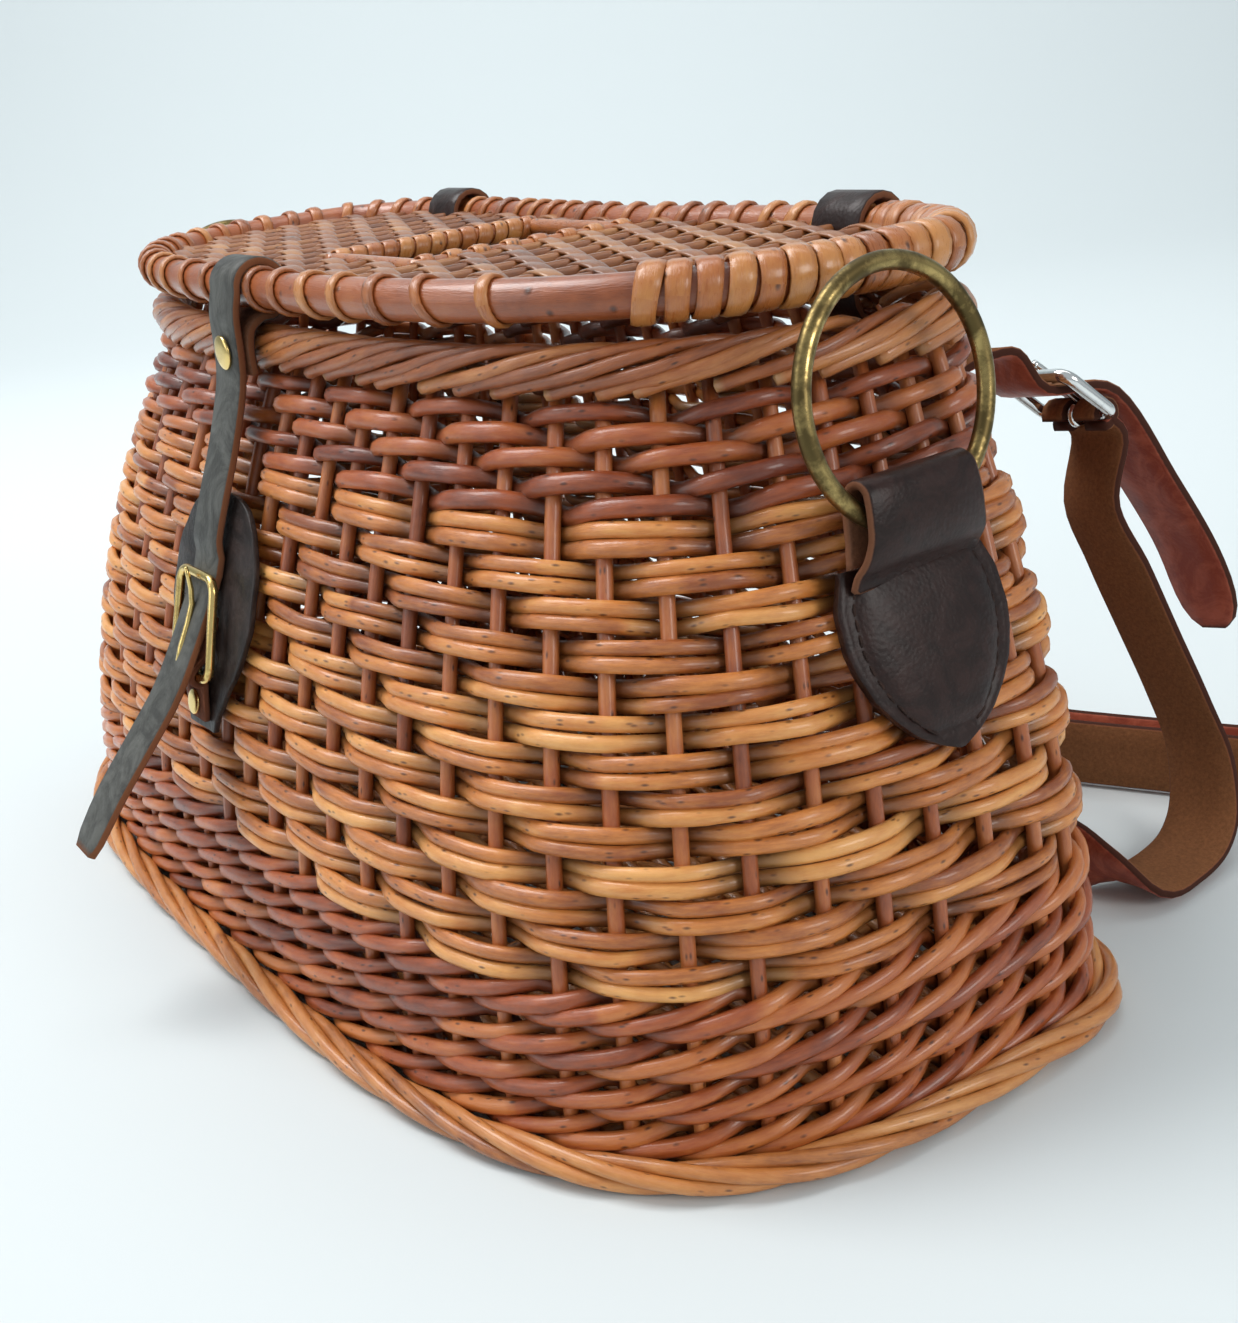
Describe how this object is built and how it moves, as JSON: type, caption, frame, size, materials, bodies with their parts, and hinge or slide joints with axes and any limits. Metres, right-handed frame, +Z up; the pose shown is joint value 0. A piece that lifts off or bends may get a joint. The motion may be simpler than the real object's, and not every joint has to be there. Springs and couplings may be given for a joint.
{
  "type": "fishing creel",
  "caption": "Wicker fishing creel: flared woven basket with a slotted hinged lid, leather latch strap and buckle, a carrying ring at each end and a leather shoulder strap",
  "frame": {"origin": "on the floor, under the middle of the lid's length and on the hinge side's reference plane: the centre of the base panel's standing face at z 0", "axes": "+Z is up, -Y is the front with the latch, +X is the end with the buckle of the shoulder strap"},
  "size_m": [0.42, 0.3351, 0.1976],
  "materials": {
    "willow": "varnished woven willow, golden tan",
    "willow_dark": "varnished woven willow, red-brown",
    "willow_border": "varnished plaited border, mid brown",
    "willow_base": "varnished woven willow",
    "lid_cane": "varnished flat cane, golden",
    "rim_cane": "varnished thick cane, red-brown",
    "leather_dark": "dark brown, half gloss, creased",
    "leather_latch": "dark grey-brown strap leather",
    "leather_strap": "red-brown strap leather with a rough suede inside",
    "brass": "aged brass",
    "nickel": "polished nickel plate"
  },
  "bodies": {
    "basket": {"base_panel": "willow_base", "foot_border": "willow_border", "lower_wale": "willow_dark", "body_wall": "willow", "upper_wale": "willow_dark", "top_border": "willow_border", "hinge_loop_right": "leather_dark", "hinge_loop_left": "leather_dark", "front_patch": "leather_dark", "buckle_tab": "leather_latch", "tab_rivet": "brass", "end_patch_right": "leather_dark", "end_patch_left": "leather_dark", "strap_billet": "leather_strap", "shoulder_strap": "leather_strap", "strap_keeper_right": "leather_strap", "strap_keeper_left": "leather_strap", "keeper_rivets": "brass"},
    "lid": {"lid_rim": "rim_cane", "lid_panel": "lid_cane", "slot_frame": "lid_cane", "latch_strap": "leather_latch", "latch_rivet": "brass"},
    "ring_right": {"ring_fold_right": "leather_dark", "ring_right": "brass"},
    "ring_left": {"ring_fold_left": "leather_dark", "ring_left": "brass"},
    "latch_buckle": {"latch_frame": "brass"},
    "latch_pin": {"latch_prong": "brass"},
    "shoulder_buckle": {"shoulder_frame": "nickel"},
    "shoulder_pin": {"shoulder_prong": "nickel"}
  },
  "joints": [
    {"name": "lid_hinge", "type": "hinge", "parent": "basket", "child": "lid", "pos_m": [0, 0.04044, 0.18895], "axis": [-1, 0, 0], "range_deg": [0, 110], "deforming": ["latch_strap"]},
    {"name": "ring_right_swing", "type": "hinge", "parent": "basket", "child": "ring_right", "pos_m": [0.18003, -0.02, 0.13], "axis": [0, 1, 0], "range_deg": [0, 75]},
    {"name": "ring_left_swing", "type": "hinge", "parent": "basket", "child": "ring_left", "pos_m": [-0.18003, -0.02, 0.13], "axis": [0, -1, 0], "range_deg": [0, 75]},
    {"name": "latch_buckle_swing", "type": "hinge", "parent": "basket", "child": "latch_buckle", "pos_m": [0, -0.1264, 0.091], "axis": [1, 0, 0], "range_deg": [0, 70]},
    {"name": "latch_pin_swing", "type": "hinge", "parent": "latch_buckle", "child": "latch_pin", "pos_m": [0, -0.1264, 0.091], "axis": [1, 0, 0], "range_deg": [0, 60]},
    {"name": "shoulder_buckle_swing", "type": "hinge", "parent": "basket", "child": "shoulder_buckle", "pos_m": [0.12901, 0.09583, 0.13218], "axis": [-0.968, 0.19, -0.164], "range_deg": [0, 60], "deforming": ["strap_billet"]},
    {"name": "shoulder_pin_swing", "type": "hinge", "parent": "shoulder_buckle", "child": "shoulder_pin", "pos_m": [0.12901, 0.09583, 0.13218], "axis": [-0.968, 0.19, -0.164], "range_deg": [0, 55]}
  ]
}
